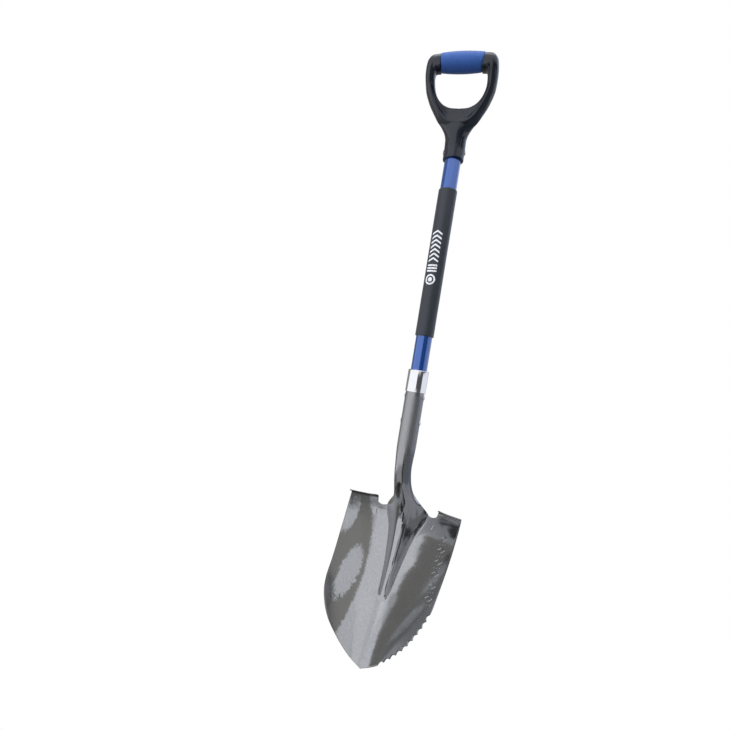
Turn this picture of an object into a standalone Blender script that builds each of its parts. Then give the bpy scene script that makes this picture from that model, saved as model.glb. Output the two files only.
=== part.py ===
"""Round point shovel with a D-grip, a foam sleeve and a stamped open-back blade.

The shovel stands upright, blade down, with the hollow front of the blade facing -Y.
Every piece is drawn in the shaft's frame: Z runs up the handle tube, and Z = 0 is the mouth of
the socket, at the ferrule's lower end. The grip's own frame is turned a little about the shaft, as
it was pressed on. The shaft's empty then moves everything so that the point where the grip hangs
on a hook, under the middle of its bar, is the world origin.
"""

import bisect
import math

import bmesh
import bpy
from mathutils import Matrix, Vector

MM = 0.001
GAP = 0.3 * MM

# Handle tube and the pieces on it
TUBE_RADIUS = 14.3 * MM
TUBE_WALL = 1.4 * MM
TUBE_BOTTOM = -100 * MM
TUBE_TOP = 446 * MM
FOAM_RADIUS = 16.4 * MM
FOAM_BOTTOM = 99.5 * MM
FOAM_TOP = 360.5 * MM
FERRULE_RADIUS = 18.0 * MM
FERRULE_WALL = 0.9 * MM
FERRULE_TOP = 39 * MM
CORE_RADIUS = TUBE_RADIUS - TUBE_WALL - GAP
CORE_LENGTHS = {"socket_core_plug": (-98 * MM, 30 * MM), "grip_core_plug": (408 * MM, 445 * MM)}

# Rivets, which all lie along X
RIVET_RADIUS = 2.6 * MM
RIVET_HEAD_RADIUS = 4.6 * MM
RIVET_HEAD_HEIGHT = 1.6 * MM
SOCKET_RIVETS = {"socket_rivet_upper": -8 * MM, "socket_rivet_lower": -53 * MM}
GRIP_RIVET_HEIGHT = 429 * MM

# D-grip
COLLAR_RADIUS = 18.3 * MM
COLLAR_BOTTOM = 414.3 * MM
BAR_HEIGHT = 554 * MM
BAR_FORWARD = 52 * MM
BAR_SIDEWAYS = -2.2 * MM
GRIP_TWIST = math.radians(5)
BAR_CORE_RADIUS = 11 * MM
BAR_HALF_LENGTH = 34.6 * MM
BAR_SLEEVE_END_RADIUS = 14.6 * MM
BAR_SLEEVE_MIDDLE_RADIUS = 16.4 * MM
LEAN_START = 430 * MM
LEAN_POWER = 1.3
# Stations round half of the grip's loop, from under the hand gap to the end of the bar, in mm:
# inner (x, z), outer (x, z), half depth at the crest, crest's share of the way out, half depth of
# the web beside the gap, and how much the station keeps to the bar's own plane.
LOOP = [
    ((0, 494.2), (0, 459), 14.5, 0.70, 6.5, 0),
    ((14, 495), (17, 462), 14.5, 0.69, 6.5, 0),
    ((25, 498.3), (31, 471), 14.5, 0.62, 7, 0),
    ((33.5, 504), (42.5, 486), 14.5, 0.53, 8, 0),
    ((39.5, 512.3), (53, 503), 14.5, 0.46, 9, 0),
    ((42.8, 522), (59.2, 520), 14.5, 0.42, 10, 0),
    ((43.6, 530.5), (60.8, 538), 14.5, 0.42, 11, 0.3),
    ((42.8, 536.5), (58.4, 556), 14.6, 0.45, 12, 0.7),
    ((40.2, 539.4), (49.5, 566.5), 14.6, 0.5, 13, 1),
    ((35.6, 539.6), (35.6, 568.4), 14.4, 0.5, 13, 1),
]
# Collar and flared neck of the grip as (height, half width, half depth) in mm
STEM = [(414.3, 18.3, 18.3), (436, 18.3, 18.3), (447, 18.4, 18), (456, 20.5, 17.4), (464, 25, 15.8),
        (472, 31, 12.8), (480, 35, 10), (487, 36, 7.5)]

# Blade. Its own frame starts at the middle of the shoulders: S runs down the blade, and depth
# is measured forward, square to S.
SHEET_THICKNESS = 1.9 * MM
BLADE_LIFT = math.radians(33.6)
BLADE_START = (85 * MM, -222 * MM)
BLADE_LENGTH = 280 * MM
SOCKET_RADIUS = 15.65 * MM
NECK_RADIUS = 13.9 * MM
SEAM_HALF_ANGLE = math.radians(6)
STEP_WIDTH = 11 * MM
STEP_BEND_RADIUS = 3 * MM
STEP_ANGLE = math.radians(105)
TOOTH_COUNT = 9
TOOTH_DEPTH = 3.4 * MM
SERRATION = (0.545, 0.905)

# Half of the blade's outline as (half width, S), from the shoulder to the tip
OUTLINE = [(108, 0), (107, 30), (105.2, 60), (103, 88), (100.2, 116), (97.4, 142), (94.7, 167), (89.5, 189),
           (80, 211), (68, 230), (54, 245), (38, 259), (20, 271), (0, 280)]
# How the blade's floor, dish and frog ridge change along S, in mm: (S, value)
FLOOR = [(0, -18), (40, -21), (100, -21), (150, -18), (180, -14), (211, -9.5), (245, -4.5), (280, 0)]
DISH_CURVATURE = [(0, 4.0), (60, 4.1), (110, 4.7), (166, 6.0), (211, 8.0), (245, 9.8), (280, 13)]
RIDGE_HEIGHT = [(0, 64), (12, 63), (18, 60.5), (24, 50.5), (32, 41.5), (42, 34.7), (54, 29.6), (67, 25.8),
                (82, 22.5), (108, 17), (130, 13.5), (150, 9.5), (162, 6), (168, 3), (175, 0), (280, 0)]
RIDGE_HALF_WIDTH = [(0, 41), (17, 39), (34, 33), (55, 27.5), (82, 22), (108, 17.5), (130, 14.5), (150, 12.5),
                    (174, 10.5), (192, 9), (280, 9)]
# How steeply the ridge's flanks meet the dish
RIDGE_POWER = 2.2
# Front line of the socket and neck, from the mouth to the shoulder: (Y, Z) in mm
SOCKET_FRONT = [(-15.65, 36), (-15.65, -100), (-14.2, -122), (-11, -140), (-3.5, -158), (7.5, -175),
                (19.5, -190), (30.5, -203), (40, -214)]
# Where the tube's socket narrows to the neck
NARROWING_START = -96 * MM
NARROWING_LENGTH = 42 * MM
# Share of the neck over which it opens from a rolled tube to the ridge's section
OPENING_SHARE = 0.46
OPENING_TILT = math.radians(16)

# Sheet grid. Columns are counted outward from the middle: the ridge's, then the dish's at these
# shares of the width that is left
RIDGE_COLUMNS = 9
DISH_SHARES = [0.07, 0.17, 0.275, 0.30, 0.46, 0.64, 0.82, 1.0]
NARROW_RIDGE = 0.42
# How far below the shoulder line the sheet's top edge lies: on the ridge at the middle and at its
# side, then at each dish column, first round the notch and then along the step
RIDGE_TOP_EDGE = (18, 5)
TOP_EDGE = [8, 9.5, 7.5, 0.5, 3.5, 7.0, 10.5, 14]
STEP_FROM = 3
TOP_FADE = 70 * MM
# Rows straight across the blade, in mm from the top edge
UPPER_ROWS = [0, 2.5, 5.5, 9, 13, 18, 25, 34, 45, 59, 74, 90, 106, 122]
SIDE_OUTLINE = OUTLINE[:8]
# Rows that fan out to the lower edge, as shares of the outline above and below the serration,
# and where the first and last of them cross the middle line
FAN_SHARES = ([0.43, 0.48, 0.52], [0.93, 0.955, 0.98, 1.0])
FAN_MIDDLE = (138 * MM, 222 * MM)
ROW_SAG = 1.4
NECK_ROWS = 24
NECK_CROWDING = 1.25
# The bend from neck to ridge is evened out over these many rows each way, less and less
SOFTENED_ROWS = 8
SOFTENING_PASSES = 12


def piecewise(points, value):
    """Smooth curve through (position, value) pairs that never swings past them, flat past its ends."""
    xs = [p[0] for p in points]
    ys = [p[1] for p in points]
    value = min(max(value, xs[0]), xs[-1])
    rises = [(ys[k + 1] - ys[k]) / (xs[k + 1] - xs[k]) for k in range(len(xs) - 1)]
    i = min(bisect.bisect_right(xs, value) - 1, len(xs) - 2)
    before = rises[i - 1] if i > 0 else rises[i]
    after = rises[i + 1] if i + 1 < len(rises) else rises[i]
    start, end = shared_slope(before, rises[i]), shared_slope(rises[i], after)
    step = xs[i + 1] - xs[i]
    t = (value - xs[i]) / step
    return ((1 + 2 * t) * (1 - t) ** 2 * ys[i] + t * (1 - t) ** 2 * step * start
            + t * t * (3 - 2 * t) * ys[i + 1] + t * t * (t - 1) * step * end)


def shared_slope(first, second):
    """Slope where two stretches meet: level at a turn, and else the harmonic mean of theirs."""
    return 0 if first * second <= 0 else 2 * first * second / (first + second)


def along(points, fraction):
    """Point at a fraction of the length of a smooth open curve through 2-D points."""
    lengths = [0]
    for (x0, y0), (x1, y1) in zip(points, points[1:]):
        lengths.append(lengths[-1] + math.hypot(x1 - x0, y1 - y0))
    where = fraction * lengths[-1]
    return tuple(piecewise([(length, p[k]) for length, p in zip(lengths, points)], where) for k in range(2))


def smoothstep(value):
    value = min(max(value, 0.0), 1.0)
    return value * value * (3 - 2 * value)


def material(name, colour, roughness, metallic=0.0):
    mat = bpy.data.materials.new(name)
    mat.use_nodes = True
    shader = mat.node_tree.nodes["Principled BSDF"]
    shader.inputs["Base Color"].default_value = (*colour, 1.0)
    shader.inputs["Roughness"].default_value = roughness
    shader.inputs["Metallic"].default_value = metallic
    return mat


def mesh_object(name, vertices, faces, finish):
    mesh = bpy.data.meshes.new(name)
    mesh.from_pydata([tuple(v) for v in vertices], [], faces)
    bm = bmesh.new()
    bm.from_mesh(mesh)
    bmesh.ops.recalc_face_normals(bm, faces=bm.faces)
    bm.to_mesh(mesh)
    bm.free()
    mesh.shade_smooth()
    mesh.set_sharp_from_angle(angle=math.radians(40))
    obj = bpy.data.objects.new(name, mesh)
    bpy.context.collection.objects.link(obj)
    obj.data.materials.append(finish)
    return obj


def turned(name, profile, finish, sides=40, centre=(0, 0, 0), axis="Z"):
    """Solid or ring turned round an axis from a closed profile of (radius, height) points."""
    vertices, faces = [], []
    count = len(profile)
    for k in range(sides):
        angle = 2 * math.pi * k / sides
        for radius, height in profile:
            across, along_y = radius * math.cos(angle), radius * math.sin(angle)
            point = (across, along_y, height) if axis == "Z" else (height, across, along_y)
            vertices.append(Vector(centre) + Vector(point))
    for k in range(sides):
        following = (k + 1) % sides
        for i in range(count):
            j = (i + 1) % count
            faces.append((k * count + i, following * count + i, following * count + j, k * count + j))
    obj = mesh_object(name, vertices, faces, finish)
    weld(obj)
    return obj


def weld(obj, distance=0.00001):
    """Join the points of a profile that lie on the axis, and drop the faces that they close."""
    bm = bmesh.new()
    bm.from_mesh(obj.data)
    bmesh.ops.remove_doubles(bm, verts=bm.verts, dist=distance)
    bmesh.ops.dissolve_degenerate(bm, edges=bm.edges, dist=distance)
    bmesh.ops.recalc_face_normals(bm, faces=bm.faces)
    bm.to_mesh(obj.data)
    bm.free()


def boolean(obj, other, operation):
    mod = obj.modifiers.new(operation.lower(), "BOOLEAN")
    mod.operation = operation
    mod.solver = "EXACT"
    mod.object = other
    other.hide_render = True
    other.display_type = "WIRE"


def rivet_cutter(name, height, finish, twist=0):
    """Bar that clears a rivet's shank, along X or turned from it about the shaft."""
    radius = RIVET_RADIUS + GAP
    reach = 40 * MM
    cutter = turned(name, [(0, -reach), (radius, -reach), (radius, reach), (0, reach)], finish, 20,
                    (0, 0, height), "X")
    cutter.data.transform(Matrix.Rotation(twist, 4, "Z"))
    return cutter


# Handle tube and what sits on it

def handle_tube(finish):
    inner = TUBE_RADIUS - TUBE_WALL
    return turned("handle_tube", [(inner, TUBE_BOTTOM), (TUBE_RADIUS, TUBE_BOTTOM), (TUBE_RADIUS, TUBE_TOP),
                                  (inner, TUBE_TOP)], finish)


def foam_sleeve(finish):
    inner = TUBE_RADIUS + GAP
    edge = 1 * MM
    return turned("foam_sleeve", [(inner, FOAM_BOTTOM), (FOAM_RADIUS - edge, FOAM_BOTTOM),
                                  (FOAM_RADIUS, FOAM_BOTTOM + edge), (FOAM_RADIUS, FOAM_TOP - edge),
                                  (FOAM_RADIUS - edge, FOAM_TOP), (inner, FOAM_TOP)], finish)


def ferrule(finish):
    """Collar pressed over the socket's mouth, with its top edge turned in to the tube."""
    inner = FERRULE_RADIUS - FERRULE_WALL
    lip = TUBE_RADIUS + GAP
    edge = 1 * MM
    return turned("ferrule", [(inner, 0), (FERRULE_RADIUS, 0), (FERRULE_RADIUS, FERRULE_TOP - edge),
                              (FERRULE_RADIUS - edge, FERRULE_TOP), (lip, FERRULE_TOP),
                              (lip, FERRULE_TOP - FERRULE_WALL), (inner, FERRULE_TOP - FERRULE_WALL)], finish)


def core_plug(name, finish):
    bottom, top = CORE_LENGTHS[name]
    edge = 1 * MM
    return turned(name, [(0, bottom), (CORE_RADIUS - edge, bottom), (CORE_RADIUS, bottom + edge),
                         (CORE_RADIUS, top - edge), (CORE_RADIUS - edge, top), (0, top)], finish, 32)


def rivet(name, height, reach, finish):
    """Shank along X with a domed head at each end; reach is the half length between the heads."""
    steps = 5
    dome = []
    for k in range(steps + 1):
        angle = math.pi / 2 * k / steps
        dome.append((RIVET_HEAD_RADIUS * math.cos(angle), reach + RIVET_HEAD_HEIGHT * math.sin(angle)))
    half = [(RIVET_RADIUS, reach)] + dome
    profile = [(r, -h) for r, h in reversed(half)] + half
    return turned(name, profile, finish, 20, (0, 0, height), "X")


# D-grip

def lean(height):
    """How far the grip's middle has moved sideways and forward at a height."""
    share = min(max((height - LEAN_START) / (BAR_HEIGHT - LEAN_START), 0), 1) ** LEAN_POWER
    return Vector((BAR_SIDEWAYS, -BAR_FORWARD, 0)) * share


def loop_section(station, side):
    """Closed ring of points round one station of the loop, on one side of the grip."""
    (xi, zi), (xo, zo), crest, share, web, level = station
    profile = [(0, 0), (0.03, 0.55 * web), (0.12, 0.95 * web), (share * 0.6, web + 0.35 * (crest - web)),
               (share, crest), (0.5 + share / 2, 0.84 * crest), (0.9, 0.5 * crest), (1, 0)]
    back = [(f, -d) for f, d in reversed(profile[1:-1])]
    ring = []
    for f, d in profile + back:
        x, z = xi + (xo - xi) * f, zi + (zo - zi) * f
        middle = lean(z * MM).lerp(lean(BAR_HEIGHT), level)
        ring.append(middle + Vector((side * x, -d, z)) * MM)
    return ring


LOOP_SECTION_POINTS = 14


def bar_section(x):
    """Round section of the bar's core, with as many points as a loop station has."""
    ring = []
    for k in range(LOOP_SECTION_POINTS):
        angle = 2 * math.pi * k / LOOP_SECTION_POINTS
        round_offset = Vector((x, -BAR_CORE_RADIUS * math.sin(angle), -BAR_CORE_RADIUS * math.cos(angle)))
        ring.append(lean(BAR_HEIGHT) + Vector((0, 0, BAR_HEIGHT)) + round_offset)
    return ring


def finer(stations, steps):
    """More stations between the given ones, on smooth curves."""
    flat = [(*s[0], *s[1], *s[2:]) for s in stations]
    result = []
    for k in range((len(stations) - 1) * steps + 1):
        row = [piecewise([(i, values[c]) for i, values in enumerate(flat)], k / steps)
               for c in range(len(flat[0]))]
        result.append(((row[0], row[1]), (row[2], row[3]), *row[4:]))
    return result


def grip_loop(finish):
    """Arms, web and bar core as one closed loop round the hand gap."""
    stations = finer(LOOP, 2)
    shoulder = BAR_HALF_LENGTH + GAP
    rings = [loop_section(s, 1) for s in stations]
    rings += [bar_section(shoulder * share) for share in (1, 0.5, 0, -0.5, -1)]
    rings += [loop_section(s, -1) for s in reversed(stations[1:])]
    count = LOOP_SECTION_POINTS
    vertices = [v for ring in rings for v in ring]
    faces = []
    for k in range(len(rings)):
        following = (k + 1) % len(rings)
        for i in range(count):
            j = (i + 1) % count
            faces.append((k * count + i, k * count + j, following * count + j, following * count + i))
    return mesh_object("d_grip_body", vertices, faces, finish)


def grip_stem(finish):
    """Collar and flared neck of the grip."""
    sides = 32
    vertices, faces = [], []
    for z, width, depth in STEM:
        for k in range(sides):
            angle = 2 * math.pi * k / sides
            offset = Vector((width * math.cos(angle), depth * math.sin(angle), z)) * MM
            vertices.append(lean(z * MM) + offset)
    for row in range(len(STEM) - 1):
        for k in range(sides):
            following = (k + 1) % sides
            faces.append((row * sides + k, row * sides + following, (row + 1) * sides + following,
                          (row + 1) * sides + k))
    faces.append(tuple(reversed(range(sides))))
    faces.append(tuple(range((len(STEM) - 1) * sides, len(STEM) * sides)))
    return mesh_object("grip_stem", vertices, faces, finish)


def d_grip_body(finish):
    body = grip_loop(finish)
    boolean(body, grip_stem(finish), "UNION")
    bore = TUBE_RADIUS + GAP
    bottom = COLLAR_BOTTOM - 5 * MM
    top = TUBE_TOP + GAP
    cutter = turned("grip_bore_cutter", [(0, bottom), (bore, bottom), (bore, top), (0, top)], finish)
    boolean(body, cutter, "DIFFERENCE")
    drill(body, GRIP_RIVET_HEIGHT, finish)
    return body


def grip_bar_sleeve(finish):
    """Soft barrel moulded round the bar."""
    inner = BAR_CORE_RADIUS + GAP
    steps = 10
    outer = []
    for k in range(steps + 1):
        x = BAR_HALF_LENGTH * (2 * k / steps - 1)
        rise = (BAR_SLEEVE_MIDDLE_RADIUS - BAR_SLEEVE_END_RADIUS) * (1 - (x / BAR_HALF_LENGTH) ** 2)
        outer.append((BAR_SLEEVE_END_RADIUS + rise, x))
    profile = [(inner, -BAR_HALF_LENGTH)] + outer + [(inner, BAR_HALF_LENGTH)]
    return turned("grip_bar_sleeve", profile, finish, 36, lean(BAR_HEIGHT) + Vector((0, 0, BAR_HEIGHT)), "X")


# Blade: one sheet, first as a surface without thickness

def top_edge(column):
    """S of the sheet's top edge on a column, counted outward from the middle."""
    if column <= RIDGE_COLUMNS:
        middle, side = RIDGE_TOP_EDGE
        return (middle + (side - middle) * (column / RIDGE_COLUMNS) ** 2) * MM
    return TOP_EDGE[column - RIDGE_COLUMNS - 1] * MM


def blade_point(x, s):
    """Point of the blade's surface in the shaft's frame."""
    key = s / MM
    depth = piecewise(FLOOR, key) * MM + piecewise(DISH_CURVATURE, key) * x * x
    share = min(abs(x) / (piecewise(RIDGE_HALF_WIDTH, key) * MM), 1)
    depth += piecewise(RIDGE_HEIGHT, key) * MM * (1 - share ** RIDGE_POWER) ** 2
    sine, cosine = math.sin(BLADE_LIFT), math.cos(BLADE_LIFT)
    y, z = BLADE_START
    return Vector((x, y - sine * s - cosine * depth, z - cosine * s + sine * depth))


def fan_shares():
    """Share of the outline at the edge of each fanned row: two rows to a tooth in the serration."""
    above, below = FAN_SHARES
    start, end = SERRATION
    steps = 2 * TOOTH_COUNT + 2
    return above + [start + (end - start) * k / steps for k in range(steps + 1)] + below


def blade_line(s_middle, edge, fade):
    """Half of one row: points from the middle to the edge as (x, S)."""
    half_width, s_edge = edge
    ridge = min(piecewise(RIDGE_HALF_WIDTH, s_middle / MM) * MM, NARROW_RIDGE * half_width)
    line = []
    for column in range(RIDGE_COLUMNS + len(DISH_SHARES) + 1):
        if column <= RIDGE_COLUMNS:
            x = ridge * column / RIDGE_COLUMNS
        else:
            x = ridge + (half_width - ridge) * DISH_SHARES[column - RIDGE_COLUMNS - 1]
        share = x / half_width if half_width > 0 else 0
        line.append((x, s_middle + (s_edge - s_middle) * share ** ROW_SAG + top_edge(column) * fade))
    return line


def blade_half_lines():
    """All rows of one half of the blade, and which rows are gullets of the serration."""
    outline = [(w * MM, s * MM) for w, s in OUTLINE]
    lines, gullets = [], set()
    for s in UPPER_ROWS:
        s = s * MM
        fade = max(0, 1 - s / TOP_FADE)
        edge_s = s + top_edge(RIDGE_COLUMNS + len(DISH_SHARES)) * fade
        width = piecewise([(v, w) for w, v in SIDE_OUTLINE], edge_s / MM) * MM
        lines.append(blade_line(s, (width, s), fade))
    first, last = FAN_MIDDLE
    shares = fan_shares()
    for share in shares:
        blend = (share - shares[0]) / (1 - shares[0])
        width, s_edge = along(outline, share)
        lines.append(blade_line(first + (last - first) * blend, (max(width, 0), s_edge), 0))
        tooth = (share - SERRATION[0]) / (SERRATION[1] - SERRATION[0]) * (2 * TOOTH_COUNT + 2)
        if 0 < tooth < 2 * TOOTH_COUNT + 2 and round(tooth) % 2 == 1:
            gullets.add(len(lines) - 1)
    # The last row folds both halves together on the middle line, down to the tip
    last_column = len(lines[-1]) - 1
    lines[-1] = [(0, last + (BLADE_LENGTH - last) * c / last_column) for c in range(last_column + 1)]
    return lines, gullets


def notched(line):
    """The row with its edge point pulled in to the bottom of a gullet."""
    (x0, s0), (x1, s1) = line[-2], line[-1]
    length = math.hypot(x1 - x0, s1 - s0)
    pull = TOOTH_DEPTH / length
    return line[:-1] + [(x1 + (x0 - x1) * pull, s1 + (s0 - s1) * pull)]


def neck_rows(section):
    """Rows of the neck and socket, from the shoulder up, as lists of points."""
    columns = len(section) - 1
    front = [(y * MM, z * MM) for y, z in SOCKET_FRONT]
    offsets = [p - section[columns // 2] for p in section]
    shift = section[columns // 2] - Vector((0, *front[-1]))
    rows = []
    for k in range(1, NECK_ROWS + 1):
        share = k / NECK_ROWS
        y, z = along(front, 1 - share ** NECK_CROWDING)
        opened = smoothstep(1 - share / OPENING_SHARE) ** 1.5
        tight = smoothstep((NARROWING_START - z) / NARROWING_LENGTH)
        radius = SOCKET_RADIUS + (NECK_RADIUS - SOCKET_RADIUS) * tight
        tilt = -OPENING_TILT * smoothstep(1 - share / OPENING_SHARE)
        back = Vector((0, math.cos(tilt), math.sin(tilt)))
        row = []
        for c in range(columns + 1):
            angle = (2 * c / columns - 1) * (math.pi - SEAM_HALF_ANGLE)
            rolled = Vector((radius * math.sin(angle), 0, 0)) + back * radius * (1 - math.cos(angle))
            row.append(Vector((0, y, z)) + shift * opened + rolled.lerp(offsets[c], opened))
        rows.append(row)
    return rows


def soften(vertices, faces, shares):
    """Evens out a surface at the chosen vertices, each by its own share, and nowhere else."""
    neighbours = {v: set() for v in shares}
    for face in faces:
        for k, v in enumerate(face):
            if v in neighbours:
                neighbours[v].update((face[k - 1], face[(k + 1) % len(face)]))
    for _ in range(SOFTENING_PASSES):
        means = {v: sum((vertices[n] for n in near), Vector()) / len(near) for v, near in neighbours.items()}
        for v, mean in means.items():
            vertices[v] = vertices[v].lerp(mean, 0.5 * shares[v])


def step_rows(points, downs):
    """Rows of a turned step, folded forward from the sheet's top edge."""
    rows = []
    forward = Vector((0, -math.cos(BLADE_LIFT), math.sin(BLADE_LIFT)))
    bends = 4
    for k in range(1, bends + 2):
        angle = STEP_ANGLE * min(k / bends, 1)
        row = []
        for p, down in zip(points, downs):
            up = -down
            fold = p + STEP_BEND_RADIUS * (math.sin(angle) * up + (1 - math.cos(angle)) * forward)
            if k > bends:
                fold += STEP_WIDTH * (math.cos(angle) * up + math.sin(angle) * forward)
            row.append(fold)
        rows.append(row)
    return rows


def blade_sheet():
    """Vertices and faces of the whole sheet's middle surface."""
    lines, gullets = blade_half_lines()
    vertices, faces, grid = [], [], []
    last_column = len(lines[0]) - 1
    for i, line in enumerate(lines):
        right = notched(line) if i in gullets else line
        row = {}
        for c in range(-last_column, last_column + 1):
            if i == len(lines) - 1 and c > 0:
                row[c] = row[-c]
                continue
            x, s = right[c] if c > 0 else line[-c]
            row[c] = len(vertices)
            vertices.append(blade_point(math.copysign(x, c), s))
        grid.append(row)
    for i in range(len(grid) - 1):
        for c in range(-last_column, last_column):
            faces.append((grid[i][c], grid[i][c + 1], grid[i + 1][c + 1], grid[i + 1][c]))
    inner = range(1 - RIDGE_COLUMNS, RIDGE_COLUMNS)
    downward = [[row[c] for c in inner] for row in grid[:SOFTENED_ROWS]]
    upward = add_neck(vertices, faces, grid[0])
    shares = {}
    for number in range(SOFTENED_ROWS):
        for v in downward[number] + (upward[number - 1] if number > 0 else []):
            shares[v] = smoothstep(1 - number / SOFTENED_ROWS)
    soften(vertices, faces, shares)
    for side in (-1, 1):
        add_step(vertices, faces, grid, side, last_column)
    return vertices, faces


def add_neck(vertices, faces, top_row):
    """Adds the neck and socket above the ridge, and returns the inner vertices of each row."""
    below = [top_row[c] for c in range(-RIDGE_COLUMNS, RIDGE_COLUMNS + 1)]
    inner = []
    for row in neck_rows([vertices[i] for i in below]):
        above = list(range(len(vertices), len(vertices) + len(row)))
        vertices.extend(row)
        for c in range(len(above) - 1):
            faces.append((above[c], above[c + 1], below[c + 1], below[c]))
        inner.append(above[1:-1])
        below = above
    return inner


def add_step(vertices, faces, grid, side, last_column):
    columns = [side * c for c in range(RIDGE_COLUMNS + 1 + STEP_FROM, last_column + 1)]
    below = [grid[0][c] for c in columns]
    points = [vertices[i] for i in below]
    downs = [(vertices[grid[1][c]] - vertices[grid[0][c]]).normalized() for c in columns]
    for row in step_rows(points, downs):
        above = list(range(len(vertices), len(vertices) + len(row)))
        vertices.extend(row)
        for c in range(len(above) - 1):
            face = (above[c], above[c + 1], below[c + 1], below[c])
            faces.append(face if side > 0 else tuple(reversed(face)))
        below = above


def blade(finish):
    vertices, faces = blade_sheet()
    obj = mesh_object("blade", vertices, faces, finish)
    thick = obj.modifiers.new("sheet", "SOLIDIFY")
    thick.thickness = SHEET_THICKNESS
    thick.offset = 0
    for height in SOCKET_RIVETS.values():
        drill(obj, height, finish)
    return obj


def drill(obj, height, finish, twist=0):
    cutter = rivet_cutter(f"{obj.name}_cutter_{len(obj.modifiers)}", height, finish, twist)
    boolean(obj, cutter, "DIFFERENCE")


def datum(name, parent=None):
    """Empty that takes every piece drawn since the last one."""
    empty = bpy.data.objects.new(name, None)
    bpy.context.collection.objects.link(empty)
    for obj in bpy.data.objects:
        if obj.type == "MESH" and obj.parent is None:
            obj.parent = empty
    empty.parent = parent
    return empty


def main():
    for obj in list(bpy.data.objects):
        bpy.data.objects.remove(obj, do_unlink=True)
    steel = material("coated_steel", (0.36, 0.36, 0.36), 0.3, 0.9)
    rivet_steel = material("rivet_steel", (0.6, 0.6, 0.6), 0.3, 1.0)
    chrome = material("chrome", (0.85, 0.85, 0.86), 0.08, 1.0)
    blue_paint = material("blue_paint", (0.01, 0.03, 0.3), 0.15)
    foam = material("foam", (0.03, 0.045, 0.05), 0.8)
    black_plastic = material("black_plastic", (0.02, 0.022, 0.028), 0.35)
    blue_soft = material("blue_soft", (0.03, 0.08, 0.32), 0.6)
    ash = material("core_wood", (0.6, 0.42, 0.22), 0.7)

    blade(steel)
    ferrule(chrome)
    tube = handle_tube(blue_paint)
    foam_sleeve(foam)
    socket_plug = core_plug("socket_core_plug", ash)
    for name, height in SOCKET_RIVETS.items():
        rivet(name, height, SOCKET_RADIUS + SHEET_THICKNESS / 2 + GAP, rivet_steel)
        drill(tube, height, blue_paint)
        drill(socket_plug, height, ash)
    drill(tube, GRIP_RIVET_HEIGHT, blue_paint, GRIP_TWIST)
    shaft = datum("shaft_datum")

    d_grip_body(black_plastic)
    grip_bar_sleeve(blue_soft)
    rivet("grip_rivet", GRIP_RIVET_HEIGHT, COLLAR_RADIUS + GAP, rivet_steel)
    drill(core_plug("grip_core_plug", ash), GRIP_RIVET_HEIGHT, ash)
    grip = datum("grip_datum", shaft)

    turn = Matrix.Rotation(GRIP_TWIST, 4, "Z")
    grip.matrix_local = turn
    under_bar = lean(BAR_HEIGHT) + Vector((0, 0, BAR_HEIGHT - BAR_SLEEVE_MIDDLE_RADIUS))
    shaft.location = -(turn @ under_bar)


main()
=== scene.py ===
"""Looks of the round point shovel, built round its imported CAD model.

Every piece is drawn in the shaft's frame, as in the CAD: Z up the handle tube, with zero at the
ferrule's lower end. Lengths in the tables are millimetres, and everything else is metres.
"""

import math

import bmesh
import bpy
import numpy as np
from mathutils import Matrix, Vector, noise


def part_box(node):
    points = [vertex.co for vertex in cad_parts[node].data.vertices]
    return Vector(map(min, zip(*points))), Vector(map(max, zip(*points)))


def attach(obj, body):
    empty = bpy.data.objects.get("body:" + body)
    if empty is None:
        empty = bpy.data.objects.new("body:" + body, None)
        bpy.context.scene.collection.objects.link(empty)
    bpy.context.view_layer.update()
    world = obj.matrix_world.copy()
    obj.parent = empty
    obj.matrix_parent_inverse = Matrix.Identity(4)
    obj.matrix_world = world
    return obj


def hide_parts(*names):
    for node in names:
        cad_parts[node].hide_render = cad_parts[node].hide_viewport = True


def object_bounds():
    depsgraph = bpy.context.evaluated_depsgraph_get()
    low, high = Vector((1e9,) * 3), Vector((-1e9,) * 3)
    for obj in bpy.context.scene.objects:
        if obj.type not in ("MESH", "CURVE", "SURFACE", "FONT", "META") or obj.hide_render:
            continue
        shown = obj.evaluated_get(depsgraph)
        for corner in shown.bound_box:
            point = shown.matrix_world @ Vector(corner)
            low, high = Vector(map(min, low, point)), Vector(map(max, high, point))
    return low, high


MM = 0.001
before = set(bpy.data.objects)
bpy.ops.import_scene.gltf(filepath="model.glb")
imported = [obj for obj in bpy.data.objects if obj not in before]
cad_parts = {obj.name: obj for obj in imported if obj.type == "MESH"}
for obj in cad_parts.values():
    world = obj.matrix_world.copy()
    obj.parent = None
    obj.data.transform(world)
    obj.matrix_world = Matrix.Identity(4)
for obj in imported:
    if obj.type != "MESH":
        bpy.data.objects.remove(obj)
CAD_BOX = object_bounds()

tube_low, tube_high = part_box("handle_tube")
ferrule_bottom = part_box("ferrule")[0].z
SHAFT = Matrix.Translation(((tube_low.x + tube_high.x) / 2, (tube_low.y + tube_high.y) / 2, ferrule_bottom))
GRIP_TWIST = math.radians(5)
GRIP = SHAFT @ Matrix.Rotation(GRIP_TWIST, 4, "Z")

# Handle
TUBE_RADIUS = 14.3 * MM
TUBE_SPAN = (-100 * MM, 446 * MM)
FOAM_RADIUS = 16.4 * MM
FOAM_SPAN = (99.5 * MM, 360.5 * MM)
PRINT_TURN = math.radians(-9)
PRINT_HALF_WIDTH = 9.2 * MM
PRINT_LIFT = 0.12 * MM
PRINT_DEPTH = 0.3 * MM
ROUNDEL_HEIGHT = 198 * MM
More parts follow.
